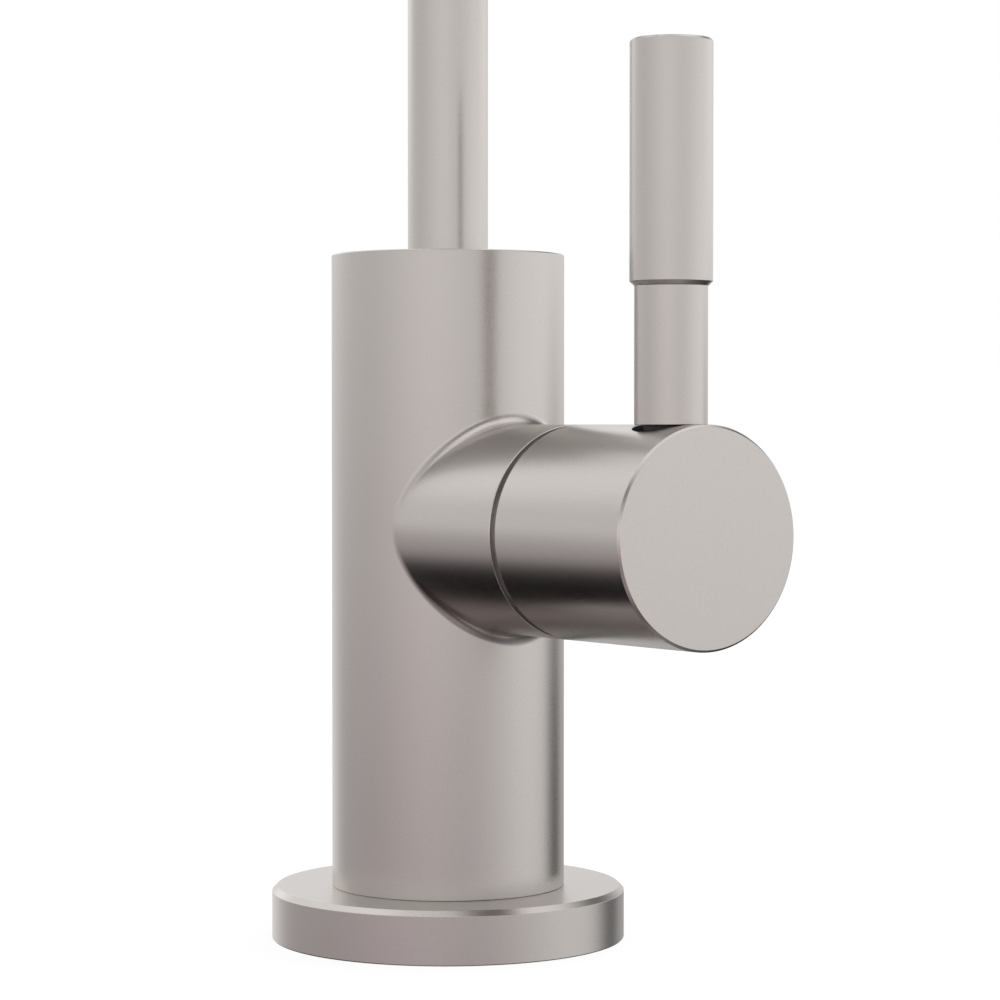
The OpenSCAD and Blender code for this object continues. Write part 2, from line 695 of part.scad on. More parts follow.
base_ring();
deck_gasket();
body();
mounting_shank();
rubber_washer();
steel_washer();
mounting_nut();
port_seal();
cartridge_base();
fixed_disc();
moving_disc();
disc_driver();
valve_stem();
stem_o_ring();
cartridge_barrel();
cartridge_nut();
seam_ring();
handle_hub();
hub_set_screw();
lever_rod();
lever_grip();
spout_foot();
spout_o_rings();
glide_washer();
spout_collar();
spout_tube();
outlet_ferrule();
aerator_washer();
aerator_housing();
flow_disc();
aerator_comb();
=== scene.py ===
# Gooseneck bar faucet in satin nickel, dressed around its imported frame. Shells are worked out in
# millimetres from the frame's own boxes, and become metres when they are finished.
import bpy
import math
from itertools import product
from mathutils import Matrix, Vector
from mathutils.geometry import tessellate_polygon


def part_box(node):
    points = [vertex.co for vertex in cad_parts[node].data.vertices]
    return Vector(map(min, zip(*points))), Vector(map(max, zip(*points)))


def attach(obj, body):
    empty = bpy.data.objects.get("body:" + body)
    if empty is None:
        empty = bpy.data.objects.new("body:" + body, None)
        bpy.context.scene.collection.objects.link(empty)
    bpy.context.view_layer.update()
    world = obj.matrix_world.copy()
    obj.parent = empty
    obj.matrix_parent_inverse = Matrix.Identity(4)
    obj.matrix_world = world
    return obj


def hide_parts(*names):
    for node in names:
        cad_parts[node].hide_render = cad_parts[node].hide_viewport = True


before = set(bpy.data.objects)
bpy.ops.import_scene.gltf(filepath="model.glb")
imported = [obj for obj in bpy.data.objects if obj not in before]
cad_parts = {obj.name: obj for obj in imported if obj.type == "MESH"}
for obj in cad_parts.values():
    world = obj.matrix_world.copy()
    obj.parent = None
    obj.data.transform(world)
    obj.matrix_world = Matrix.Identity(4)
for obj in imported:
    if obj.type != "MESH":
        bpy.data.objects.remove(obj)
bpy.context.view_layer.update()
mm = 0.001
turn = 2 * math.pi


def nodeBox(node):
    low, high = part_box(node)
    return low / mm, high / mm


def addObject(name, data):
    thing = bpy.data.objects.new(name, data)
    bpy.context.scene.collection.objects.link(thing)
    return thing


# Shells are faces with the true normal at each corner, so turned metal shades round

def newShell():
    return {"points": [], "index": {}, "edge": [], "faces": [], "normals": [], "finish": 0, "finishes": []}


cellsPerMillimetre = 1000
cellEdge = 0.1


# A point that is already there is shared: it is filed in each cell that it lies within a tenth of
def pointIndex(shell, point, edge):
    near = [{round(c * cellsPerMillimetre + side) for side in (-cellEdge, cellEdge)} for c in point]
    cells = list(product(*near))
    i = next((shell["index"][cell] for cell in cells if cell in shell["index"]), None)
    if i is None:
        i = len(shell["points"])
        shell["points"].append(Vector(point))
        shell["edge"].append(0.0)
        for cell in cells:
            shell["index"][cell] = i
    shell["edge"][i] = max(shell["edge"][i], edge)
    return i


def addFace(shell, corners):
    kept, normals = [], []
    for point, normal, *edge in corners:
        i = pointIndex(shell, point, edge[0] if edge else 0.0)
        if i not in kept:
            kept.append(i)
            normals.append(Vector(normal))
    if len(kept) < 3:
        return
    p = [shell["points"][i] for i in kept]
    facing = (p[2] - p[0]).cross(p[-1] - p[1])
    if facing.dot(sum(normals, Vector())) < 0:
        kept.reverse()
        normals.reverse()
    shell["faces"].append(kept)
    shell["normals"].extend(normals)
    shell["finishes"].append(shell["finish"])


def addGrid(shell, rows):
    for low, high in zip(rows, rows[1:]):
        for i in range(len(low) - 1):
            addFace(shell, [low[i], low[i + 1], high[i + 1], high[i]])


flatFrom = 0.999  # how nearly square to the axis a flat face is


# A face square to the lathe's axis takes the last finish, which is brushed alike both ways
def finishShell(shell, name, coats, body, node, axis=(0, 0, 1)):
    mesh = bpy.data.meshes.new(name)
    mesh.from_pydata([p * mm for p in shell["points"]], [], shell["faces"])
    mesh.polygons.foreach_set("use_smooth", [True] * len(mesh.polygons))
    square = [abs(face.normal.dot(Vector(axis))) > flatFrom for face in mesh.polygons]
    mesh.polygons.foreach_set("material_index", [len(coats) - 1 if flat else n
                                                 for flat, n in zip(square, shell["finishes"])])
    mesh.normals_split_custom_set([n.normalized() for n in shell["normals"]])
    mesh.attributes.new("softEdge", "FLOAT", "POINT").data.foreach_set("value", shell["edge"])
    placePiece(addObject(name, mesh), coats, body, node)


def placePiece(piece, coats, body, node):
    while len(piece.data.materials) < len(coats):
        piece.data.materials.append(None)
    for i, coat in enumerate(coats):
        piece.data.materials[i] = coat
    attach(piece, body)
    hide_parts(node)
    print("made", piece.name, len(piece.data.polygons), "faces")


arcSteps = 4      # faces over a rounded edge
straight = 0.01   # a bend under this is no corner


# Profiles are (radius, height, rounding) corners, walked with the metal on the left. With lead or
# tail, the first or last corner only gives a direction, and is left out again.
def turnedProfile(corners, ring=False, lead=False, tail=False):
    samples, count = [], len(corners)
    for i, (r, h, soft) in enumerate(corners):
        here = Vector((r, h))
        before = Vector(corners[i - 1][:2]) if ring or i else None
        after = Vector(corners[(i + 1) % count][:2]) if ring or i < count - 1 else None
        inward = (here - before).normalized() if before is not None else None
        onward = (after - here).normalized() if after is not None else inward
        inward = onward if inward is None else inward
        first, last = Vector((inward.y, -inward.x)), Vector((onward.y, -onward.x))
        bend = math.atan2(inward.x * onward.y - inward.y * onward.x, inward.dot(onward))
        if not soft or abs(bend) < straight:
            samples += [(r, h, *first, 0.0), (r, h, *last, 0.0)]
            continue
        side = math.copysign(1, bend)
        centre = here - inward * soft * math.tan(abs(bend) / 2) - first * soft * side
        for k in range(arcSteps + 1):
            a = bend * k / arcSteps
            n = Vector((first.x * math.cos(a) - first.y * math.sin(a),
                        first.x * math.sin(a) + first.y * math.cos(a)))
            wear = math.sin(math.pi * k / arcSteps) if side > 0 else 0.0
            samples.append((*(centre + n * soft * side), *n, wear))
    perCorner = 2  # samples of a corner that isn't rounded
    return samples + samples[:1] if ring else samples[perCorner * lead:len(samples) - perCorner * tail]


def upright(x, y, z=0):
    return lambda p: Vector((p[0] + x, p[1] + y, p[2] + z)), lambda d: Vector(d)


def alongHub(z):
    return lambda p: Vector((p[2], p[0], p[1] + z)), lambda d: Vector((d[2], d[0], d[1]))


def spaced(low, high, steps):
    return [low + (high - low) * i / steps for i in range(steps + 1)]


def allRound(steps):
    return spaced(0, turn, steps)


def turnedRow(place, angles, r, h, nr, nh, edge=0.0):
    toPoint, toDirection = place
    row = []
    for a in angles:
        c, s = math.cos(a), math.sin(a)
        row.append((toPoint((r * c, r * s, h)), toDirection((nr * c, nr * s, nh)), edge))
    return row


def revolve(shell, place, angles, corners, **ends):
    addGrid(shell, [turnedRow(place, angles, *sample) for sample in turnedProfile(corners, **ends)])


def circleLoop(r, steps, z, x=0, y=0):
    return [Vector((x + r * math.cos(a), y + r * math.sin(a), z)) for a in allRound(steps)[:-1]]


def flatFill(shell, loops, normal):
    flat = [p for loop in loops for p in loop]
    for corners in tessellate_polygon(loops):
        addFace(shell, [(flat[i], normal) for i in corners])


# A hole in a round surface: rings of faces lead from its rim to a rectangle on the unrolled surface

def rectanglePoint(i, steps, halfAcross, halfUp):
    quarter = steps // 4
    side, step = divmod(i + quarter // 2, quarter)
    t = 2 * step / quarter - 1
    return [(halfAcross, halfUp * t), (-halfAcross * t, halfUp),
            (-halfAcross, -halfUp * t), (halfAcross * t, -halfUp)][side % 4]


ringsCrowd = 1.5  # makes the rings narrow by the rim


def surroundHole(shell, rim, halfAcross, halfUp, onSurface, rings):
    steps = len(rim)
    rows = []
    for k in range(rings + 1):
        share = (k / rings) ** ringsCrowd
        row = []
        for i in range(steps + 1):
            (a, b), (c, d) = rim[i % steps], rectanglePoint(i % steps, steps, halfAcross, halfUp)
            row.append(onSurface(a + (c - a) * share, b + (d - b) * share))
        rows.append(row)
    addGrid(shell, rows)


# Node trees: an input takes another node's socket, or a value of its own

def feed(tree, node, inputs):
    for socket, value in dict(inputs).items():
        if isinstance(value, bpy.types.NodeSocket):
            tree.links.new(value, node.inputs[socket])
        else:
            node.inputs[socket].default_value = value
    return node


def addNode(tree, kind, inputs=(), **settings):
    node = tree.nodes.new(kind)
    for key, value in settings.items():
        setattr(node, key, value)
    return feed(tree, node, inputs)


def calculate(tree, operation, *values, clamp=False):
    return addNode(tree, "ShaderNodeMath", enumerate(values),
                   operation=operation, use_clamp=clamp).outputs[0]


def crossProduct(tree, first, second):
    return addNode(tree, "ShaderNodeVectorMath", {0: first, 1: second}, operation="CROSS_PRODUCT").outputs[0]


# Finishes: each metal is brushed round its own lathe axis, and worn bright where an edge is soft

def newFinish(name):
    finish = bpy.data.materials.new(name)
    finish.use_nodes = True
    return finish, finish.node_tree, finish.node_tree.nodes["Principled BSDF"]


def noise(tree, vector, scale, detail, roughness=0.5):
    return addNode(tree, "ShaderNodeTexNoise", {
        "Vector": vector, "Scale": scale, "Detail": detail, "Roughness": roughness}).outputs["Fac"]


# A middle value, spread both ways by each layer of noise
def spreadBy(tree, middle, layers, spreads):
    total = middle - sum(spreads) / 2
    for layer, spread in zip(layers, spreads):
        total = calculate(tree, "MULTIPLY_ADD", layer, spread, total)
    return total


# Coordinates that are constant along the tool's marks: round a side, and in circles on a face
def latheVector(tree, source, centre, axis, grain):
    turned = Matrix.Identity(3) if axis == "z" else Matrix.Rotation(-turn / 4, 3, "Y")
    mapped = addNode(tree, "ShaderNodeMapping", {
        "Vector": source, "Location": -(turned @ (Vector(centre) * mm)), "Rotation": turned.to_euler()})
    x, y, z = addNode(tree, "ShaderNodeSeparateXYZ", {0: mapped.outputs[0]}).outputs
    radius = calculate(tree, "SQRT", calculate(
        tree, "MULTIPLY_ADD", x, x, calculate(tree, "MULTIPLY", y, y)))
    return addNode(tree, "ShaderNodeCombineXYZ", {
        0: calculate(tree, "MULTIPLY_ADD", radius, grain["across"],
                     calculate(tree, "MULTIPLY", x, grain["around"])),
        1: calculate(tree, "MULTIPLY", z, grain["across"]),
        2: calculate(tree, "MULTIPLY", y, grain["around"])}).outputs[0]


satinNickel = {
    "colour": (0.588, 0.555, 0.529),
    "worn": (0.66, 0.625, 0.597),
    "wornShare": 0.6,
    "wear": 0.10,                   # how much glossier a worn edge is
    "roughness": 0.29,
    "grain": {"across": 6500, "around": 260},   # scales of the noises are to a metre
    "faceGrain": {"across": 900, "around": 900},
    "grainDetail": (3, 0.6),
    "speckle": 4200,
    "speckleDetail": 2,
    "cloud": 90,
    "cloudDetail": 3,
    "roughnessSpread": (0.05, 0.06, 0.03),      # by the grain, the speckle and the cloud
    "toneSpread": (0.045, 0.17, 0.03),
    "speckleBump": 0.5,             # against the grain's 1
    "bump": 0.07,
    "depth": 0.00002,
    "anisotropic": 0.15,
}


def brushedFinish(name, metal, centre=(0, 0, 0), axis="z", attribute=None, grained=True):
    finish, tree, shader = newFinish(name)
    place = addNode(tree, "ShaderNodeTexCoord").outputs["Object"]
    along = place
    if attribute:
        along = addNode(tree, "ShaderNodeAttribute", attribute_name=attribute).outputs["Vector"]
    marks = latheVector(tree, along, centre, axis, metal["grain"])
    grain = noise(tree, marks, 1, *metal["grainDetail"])
    speckle = noise(tree, place, metal["speckle"], metal["speckleDetail"])
    layers = grain, speckle, noise(tree, place, metal["cloud"], metal["cloudDetail"])
    worn = addNode(tree, "ShaderNodeAttribute", attribute_name="softEdge").outputs["Fac"]
    rough = spreadBy(tree, metal["roughness"], layers, metal["roughnessSpread"])
    tint = addNode(tree, "ShaderNodeMixRGB", {
        "Fac": calculate(tree, "MULTIPLY", worn, metal["wornShare"]),
        "Color1": (*metal["colour"], 1), "Color2": (*metal["worn"], 1)})
    shade = addNode(tree, "ShaderNodeVectorMath", {
        0: tint.outputs[0], "Scale": spreadBy(tree, 1, layers, metal["toneSpread"])}, operation="SCALE")
    bump = addNode(tree, "ShaderNodeBump", {
        "Strength": metal["bump"], "Distance": metal["depth"],
        "Height": calculate(tree, "MULTIPLY_ADD", speckle, metal["speckleBump"], grain)})
    feed(tree, shader, {
        "Base Color": shade.outputs[0], "Metallic": 1.0, "Normal": bump.outputs[0],
        "Roughness": calculate(tree, "MULTIPLY_ADD", worn, -metal["wear"], rough, clamp=True)})
    if grained:
        normal = addNode(tree, "ShaderNodeNewGeometry").outputs["Normal"]
        onward = crossProduct(tree, (0, 0, 1) if axis == "z" else (1, 0, 0), normal)
        feed(tree, shader, {  # gloss spreads across the grain
            "Anisotropic": metal["anisotropic"], "Tangent": crossProduct(tree, normal, onward)})
    return finish


# Cast, moulded and pressed finishes of the inner pieces, one table for all of them
plainGrain = {
    "cloudDetail": (4, 0.6),
    "speckleDetail": 2,
    "roughnessSpread": (0.12, 0.08),        # by the cloud and the speckle
    "depth": 0.00004,
}
plainLooks = {  # colour, darker colour, metallic, roughness, scales of cloud and speckle, bump
    "rawBrass": ((0.66, 0.47, 0.20), (0.50, 0.33, 0.13), 1.0, 0.34, 160, 3000, 0.25),
    "platedSteel": ((0.55, 0.56, 0.57), (0.42, 0.43, 0.45), 1.0, 0.30, 220, 3500, 0.2),
    "blackRubber": ((0.030, 0.030, 0.031), (0.020, 0.020, 0.021), 0.0, 0.62, 300, 2500, 0.5),
    # painted shade: a near-black colour standing in for the shade inside the hub's well
    "wellPaintedShade": ((0.030, 0.030, 0.031), (0.020, 0.020, 0.021), 0.0, 0.5, 300, 2500, 0.5),
    "darkAcetal": ((0.050, 0.050, 0.053), (0.036, 0.036, 0.039), 0.0, 0.36, 200, 4000, 0.2),
    "sealRingAcetal": ((0.27, 0.26, 0.255), (0.23, 0.22, 0.215), 0.75, 0.3, 200, 4000, 0.2),
    "paleNylon": ((0.66, 0.64, 0.58), (0.58, 0.56, 0.50), 0.0, 0.42, 260, 3000, 0.25),
    "whiteCeramic": ((0.83, 0.79, 0.71), (0.76, 0.72, 0.63), 0.0, 0.16, 420, 6000, 0.1),
}


def plainFinish(name, colour, dark, metallic, roughness, cloudScale, speckleScale, bumpStrength):
    finish, tree, shader = newFinish(name)
    place = addNode(tree, "ShaderNodeTexCoord").outputs["Object"]
    cloud = noise(tree, place, cloudScale, *plainGrain["cloudDetail"])
    speckle = noise(tree, place, speckleScale, plainGrain["speckleDetail"])
    tint = addNode(tree, "ShaderNodeMixRGB", {"Fac": cloud, "Color1": (*dark, 1), "Color2": (*colour, 1)})
    bump = addNode(tree, "ShaderNodeBump", {
        "Strength": bumpStrength, "Distance": plainGrain["depth"], "Height": speckle})
    feed(tree, shader, {
        "Base Color": tint.outputs[0], "Metallic": metallic, "Normal": bump.outputs[0],
        "Roughness": spreadBy(tree, roughness, (cloud, speckle), plainGrain["roughnessSpread"])})
    return finish


finishes = {name: plainFinish(name, *look) for name, look in plainLooks.items()}
wellPaintedShade = finishes["wellPaintedShade"]  # painted shade: near black where shade falls in the hub's well and on the lever's foot
columnNickel = brushedFinish("columnNickel", satinNickel)
faceNickel = brushedFinish("faceNickel", {**satinNickel, "grain": satinNickel["faceGrain"]}, grained=False)
print("finishes made:", len(finishes) + 2)


# Column, boss and the blend between them, one casting
casting = {
    "blend": 2.0,                   # radius of the ball that rolls round the joint
    "blendFacets": 12,
    "patchUp": 30,                  # half height of the patch round the boss
    "patchRings": 20,
    "rimSteps": 192,                # steps round the blend
    "topEdge": 0.25,
    "footEdge": 0.12,
    "bossEdge": 0.12,
    "chamber": (13.0, 7.0),         # radius, distance of its floor from the column's axis
    "collar": (11.05, 4.0),         # radius, depth
    "socket": (9.5, 26.0),
    "thread": (15.05, 10.0),
    "port": (4.5, 12.0, 6.2),       # radius, depth, distance from the middle
    "rim": 0.3,
    "collarRim": 0.15,
}
bodyLow, bodyHigh = nodeBox("body")
hubLow, hubHigh = nodeBox("handle_hub")
columnR = -bodyLow.x
columnFoot, columnTop = bodyLow.z, bodyHigh.z
bossEnd = bodyHigh.x
hubAxis = (hubLow.z + hubHigh.z) / 2
hubR = hubHigh.y
hubNickel = brushedFinish("hubNickel", satinNickel, (0, 0, hubAxis), "x")


def onColumn(s, t):
    a = s / columnR
    n = Vector((math.cos(a), math.sin(a), 0))
    return n * columnR + Vector((0, 0, hubAxis + t)), n


def makeCasting():
    shell = newShell()
    ball, rim, patchUp = casting["blend"], casting["rim"], casting["patchUp"]
    rimSteps = casting["rimSteps"]
    roundSteps = rimSteps // 2  # half a turn carries a quarter of the rim's steps
    toColumn, toBoss, rimPoints = [], [], []
    for a in allRound(rimSteps):
        y, z = (hubR + ball) * math.cos(a), (hubR + ball) * math.sin(a)
        centre = Vector((math.sqrt((columnR + ball) ** 2 - y * y), y, z))
        toColumn.append((centre, -Vector((centre.x, centre.y, 0)).normalized()))
        toBoss.append(Vector((0, -math.cos(a), -math.sin(a))))
        rimPoints.append((columnR * math.atan2(centre.y, centre.x), z))
    surroundHole(shell, rimPoints[:-1], columnR * turn / 4, patchUp, onColumn, casting["patchRings"])
    shell["finish"] = 1
    blendRows = [[onColumn(*point) for point in rimPoints]]
    for share in spaced(0, 1, casting["blendFacets"])[1:]:
        row = []
        for (centre, u), v in zip(toColumn, toBoss):
            angle = u.angle(v)
            d = (math.sin((1 - share) * angle) * u + math.sin(share * angle) * v) / math.sin(angle)
            row.append((Vector((0, 0, hubAxis)) + centre + d * ball, -d))
        blendRows.append(row)
    addGrid(shell, blendRows)
    axle, angles = alongHub(hubAxis), allRound(rimSteps)
    addGrid(shell, [blendRows[-1], turnedRow(axle, angles, hubR, bossEnd - casting["bossEdge"], 1, 0)])
    chamberR, chamberFloor = casting["chamber"]
    revolve(shell, axle, angles, [
        (hubR, 0, 0), (hubR, bossEnd, casting["bossEdge"]), (chamberR, bossEnd, rim),
        (chamberR, chamberFloor, 0), (0, chamberFloor, 0)], lead=True)
    shell["finish"] = 0
    behind = spaced(turn / 4, turn * 3 / 4, roundSteps // 2)
    around = spaced(-turn / 4, turn * 3 / 4, roundSteps)
    for angles, heights in ((behind, spaced(-patchUp, patchUp, roundSteps // 2)),
                            (around, [patchUp, columnTop - casting["topEdge"] - hubAxis]),
                            (around, [columnFoot + casting["footEdge"] - hubAxis, -patchUp])):
        addGrid(shell, [[onColumn(columnR * a, t) for a in angles] for t in heights])
    collarR, collarDepth = casting["collar"]
    socketR, socketDepth = casting["socket"]
    collarFloor, socketFloor = columnTop - collarDepth, columnTop - socketDepth
    revolve(shell, upright(0, 0), allRound(roundSteps), [
        (columnR, 0, 0), (columnR, columnTop, casting["topEdge"]), (collarR, columnTop, casting["collarRim"]),
        (collarR, collarFloor, 0), (socketR, collarFloor, rim), (socketR, socketFloor, 0),
        (0, socketFloor, 0)], lead=True)
    threadR, threadDepth = casting["thread"]
    ceiling = columnFoot + threadDepth
    revolve(shell, upright(0, 0), allRound(roundSteps), [
        (0, ceiling, 0), (threadR, ceiling, 0), (threadR, columnFoot, rim),
        (columnR, columnFoot, casting["footEdge"]), (columnR, columnTop, 0)], lead=True, tail=True)
    portR, portDepth, portPlace = casting["port"]
    portTop = ceiling + portDepth
    loops = [circleLoop(threadR, roundSteps, ceiling)]
    for y in (-portPlace, portPlace):
        loops.append(circleLoop(portR, roundSteps, ceiling, y=y))
        revolve(shell, upright(0, y), allRound(roundSteps), [
            (0, portTop, 0), (portR, portTop, 0), (portR, ceiling, 0)])
    flatFill(shell, loops, Vector((0, 0, -1)))
    finishShell(shell, "faucetCasting", [columnNickel, hubNickel, faceNickel],
                "column", "body")


makeCasting()


# Base ring, chamfered, with the gasket's groove in its foot
ringShape = {
    "top": 0.8,                     # chamfers
    "foot": 0.15,
    "bore": 15.25,
    "groove": (20.95, 25.05, 2.5),  # inner and outer radius, depth
    "edge": 0.10,
    "steps": 192,
}


def makeBaseRing():
    _, high = nodeBox("base_ring")
    r, h = high.x, high.z
    inner, outer, deep = ringShape["groove"]
    top, foot = ringShape["top"], ringShape["foot"]
    bore, edge = ringShape["bore"], ringShape["edge"]
    shell = newShell()
    revolve(shell, upright(0, 0), allRound(ringShape["steps"]), [
        (outer, 0, edge), (r - foot, 0, edge), (r, foot, edge), (r, h - top, edge), (r - top, h, edge),
        (bore, h, edge), (bore, 0, edge), (inner, 0, edge), (inner, deep, 0), (outer, deep, 0)], ring=True)
    finishShell(shell, "baseRing", [columnNickel, faceNickel], "column", "base_ring")


makeBaseRing()


# Collar round the spout, screwed into the column's top, with two holes for a pin spanner
collarShape = {
    "bore": 6.41,
    "edge": 0.15,
    "hole": (0.8, 2.0, 8.675),      # radius, depth, distance from the middle
    "steps": 96,
    "holeSteps": 32,
}


def makeCollar():
    low, high = nodeBox("spout_collar")
    r, foot, top = high.x, low.z, high.z
    bore, edge = collarShape["bore"], collarShape["edge"]
    steps, holeSteps = collarShape["steps"], collarShape["holeSteps"]
    holeR, holeDepth, holePlace = collarShape["hole"]
    holeFloor = top - holeDepth
    shell = newShell()
    revolve(shell, upright(0, 0), allRound(steps), [
        (r, top, 0), (bore, top, edge), (bore, foot, edge), (r, foot, edge), (r, top, edge),
        (bore, top, 0)], lead=True, tail=True)
    loops = [circleLoop(r - edge, steps, top), circleLoop(bore + edge, steps, top)]
    for x in (-holePlace, holePlace):
        loops.append(circleLoop(holeR, holeSteps, top, x=x))
        revolve(shell, upright(x, 0), allRound(holeSteps), [
            (holeR, top, 0), (holeR, holeFloor, 0), (0, holeFloor, 0)])
    flatFill(shell, loops, Vector((0, 0, 1)))
    finishShell(shell, "spoutCollar", [columnNickel, faceNickel], "column", "spout_collar")


makeCollar()


# Handle hub: its side is pierced by the lever's well above and the set screw's hole below
hubShape = {
    "edge": 0.35,
    "soft": 0.08,
    "innerSoft": 0.15,
    "recess": (10.0, 3.0),          # radius, depth, and so for the bore and the stud
    "recessSoft": 0.2,
    "bore": (4.55, 14.9),
    "well": (5.6, 1.4, 0.12),       # radius, depth, rounding of its rim
    "stud": (3.05, 9.4),
    "studSoft": 0.2,
    "screw": (2.55, 9.5, 0.15),     # radius, distance from the hub's inner end, rounding
    "holeSteps": 96,
    "holeRings": 8,
    "patch": 1.35,                  # a hole's patch, as a multiple of its radius
    "coarse": 3.75,                 # degrees between faces elsewhere
}
rodLow, rodHigh = nodeBox("lever_rod")
leverX = (rodLow.x + rodHigh.x) / 2


# A round surface about the hub's axis: s runs along the axis, t round it from the top or the bottom
def onHub(radius, x, upward=1, outward=1):
    def place(s, t):
        a = t / radius
        n = Vector((0, math.sin(a), math.cos(a) * upward))
        return n * radius + Vector((x + s, 0, hubAxis)), n * outward

    return place


def drilledRim(radius, hole):
    angles = allRound(hubShape["holeSteps"])[:-1]
    return [(hole * math.cos(a), radius * math.asin(hole * math.sin(a) / radius)) for a in angles]


# Fine between -half and half, where a patch has to meet it, and coarse beyond
def arcStations(radius, half):
    quarter, fine = radius * turn / 4, hubShape["holeSteps"] // 4
    coarse = max(1, round((quarter - half) / radius / math.radians(hubShape["coarse"])))
    middle = spaced(-half, half, fine)
    return spaced(-quarter, -half, coarse)[:-1] + middle + spaced(half, quarter, coarse)[1:]


# The stations as angles, from the side over the top and back underneath
def stationAngles(radius, above, below):
    over = [turn / 4 - t / radius for t in reversed(above)]
    return over + [turn * 3 / 4 + t / radius for t in below[1:]]


def sideHole(x, radius):
    return {"x": x, "r": radius, "half": radius * hubShape["patch"]}


# Half of a round surface between the stations, with a patch round its hole if it has one
def halfRound(shell, radius, upward, outward, stations, arc, hole=None):
    place = onHub(radius, 0, upward, outward)
    for x0, x1 in zip(stations, stations[1:]):
        for t0, t1 in zip(arc, arc[1:]):
            inPatch = hole and max(abs((x0 + x1) / 2 - hole["x"]), abs(t0 + t1) / 2) < hole["half"]
            if not inPatch:
                addGrid(shell, [[place(x, t0), place(x, t1)] for x in (x0, x1)])
    if hole:
        surroundHole(shell, drilledRim(radius, hole["r"]), hole["half"], hole["half"],
                     onHub(radius, hole["x"], upward, outward), hubShape["holeRings"])


# The rounded rim where a hole square to the hub's axis breaks its side, and the wall under it
def holeWall(shell, radius, hole, soft, upward, x, foot, wallFinish=0):
    rows = [[] for _ in range(arcSteps + 2)]
    onSide = onHub(radius, x, upward)
    for a in allRound(hubShape["holeSteps"]):
        along, across = hole * math.cos(a), hole * math.sin(a)
        wide = 1 + soft / hole
        rim, out = onSide(along * wide, radius * math.asin(across * wide / radius))
        corner, _ = onSide(along, radius * math.asin(across / radius))
        lip = corner - Vector((0, 0, soft * upward))
        inward = Vector((-math.cos(a), -math.sin(a), 0))
        for k in range(arcSteps + 1):
            t = k / arcSteps
            point = rim * (1 - t) ** 2 + corner * 2 * t * (1 - t) + lip * t * t
            rows[k].append((point, out.slerp(inward, t), math.sin(math.pi * t)))
        rows[-1].append((foot(along, across), inward, 0.0))
    addGrid(shell, rows[:-1])
    shell["finish"] = wallFinish
    addGrid(shell, rows[-2:])


def makeHub():
    shell = newShell()
    x0, x1 = hubLow.x, hubHigh.x
    edge, soft, innerSoft = hubShape["edge"], hubShape["soft"], hubShape["innerSoft"]
    recessR, recessDepth = hubShape["recess"]
    boreR, boreDepth = hubShape["bore"]
    wellR, wellDepth, wellSoft = hubShape["well"]
    screwR, screwPlace, screwSoft = hubShape["screw"]
    screwX, axle, fine = x0 + screwPlace, alongHub(hubAxis), hubShape["holeSteps"] // 4
    well, screw = sideHole(leverX, wellR + wellSoft), sideHole(screwX, screwR + screwSoft)
    chamferSoft = soft * math.tan(turn / 16)  # how far the rounding of a chamfer's corner reaches
    stations = [x0 + innerSoft, *spaced(screwX - screw["half"], screwX + screw["half"], fine),
                *spaced(leverX - well["half"], leverX + well["half"], fine), x1 - edge - chamferSoft]
    above, below = arcStations(hubR, well["half"]), arcStations(hubR, screw["half"])
    halfRound(shell, hubR, 1, 1, stations, above, well)
    halfRound(shell, hubR, -1, 1, stations, below, screw)
    angles = stationAngles(hubR, above, below)
    recessSoft, recessFloor, boreEnd = hubShape["recessSoft"], x0 + recessDepth, x0 + boreDepth
    revolve(shell, axle, angles, [
        (recessR, x1, 0), (recessR, x0, recessSoft), (hubR, x0, innerSoft),
        (hubR, x1, 0)], lead=True, tail=True)
    revolve(shell, axle, angles, [
        (hubR, x0, 0), (hubR, x1 - edge, soft), (hubR - edge, x1, soft), (0, x1, 0)], lead=True)
    boreHole = sideHole(screwX, screwR)
    boreStations = [recessFloor, *spaced(screwX - boreHole["half"], screwX + boreHole["half"], fine), boreEnd]
    arc = arcStations(boreR, boreHole["half"])
    halfRound(shell, boreR, 1, -1, boreStations, arc)
    halfRound(shell, boreR, -1, -1, boreStations, arc, boreHole)
    boreAngles = stationAngles(boreR, arc, arc)
    revolve(shell, axle, boreAngles, [(0, boreEnd, 0), (boreR, boreEnd, 0)])
    flatFill(shell, [[axle[0]((r * math.cos(a), r * math.sin(a), recessFloor)) for a in ring[:-1]]
                     for r, ring in ((recessR, angles), (boreR, boreAngles))], Vector((-1, 0, 0)))
    revolve(shell, axle, angles, [(recessR, recessFloor, 0), (recessR, x0 + recessSoft, 0)])
    holeWall(shell, hubR, screwR, screwSoft, -1, screwX,
             lambda along, across: onHub(boreR, screwX, -1)(along, boreR * math.asin(across / boreR))[0])
    wellFloor = hubAxis + hubR - wellDepth
    # the well's wall, its floor and the stud hole under it are coloured with the painted shade
    holeWall(shell, hubR, wellR, wellSoft, 1, leverX,
             lambda along, across: Vector((leverX + along, across, wellFloor)), wallFinish=1)
    studR, studDepth = hubShape["stud"]
    studFoot = wellFloor - studDepth
    revolve(shell, upright(leverX, 0), allRound(hubShape["holeSteps"]), [
        (wellR, wellFloor, 0), (studR, wellFloor, hubShape["studSoft"]), (studR, studFoot, 0),
        (0, studFoot, 0)])
    finishShell(shell, "handleHub", [hubNickel, wellPaintedShade, faceNickel],
                "handle", "handle_hub", (1, 0, 0))


makeHub()


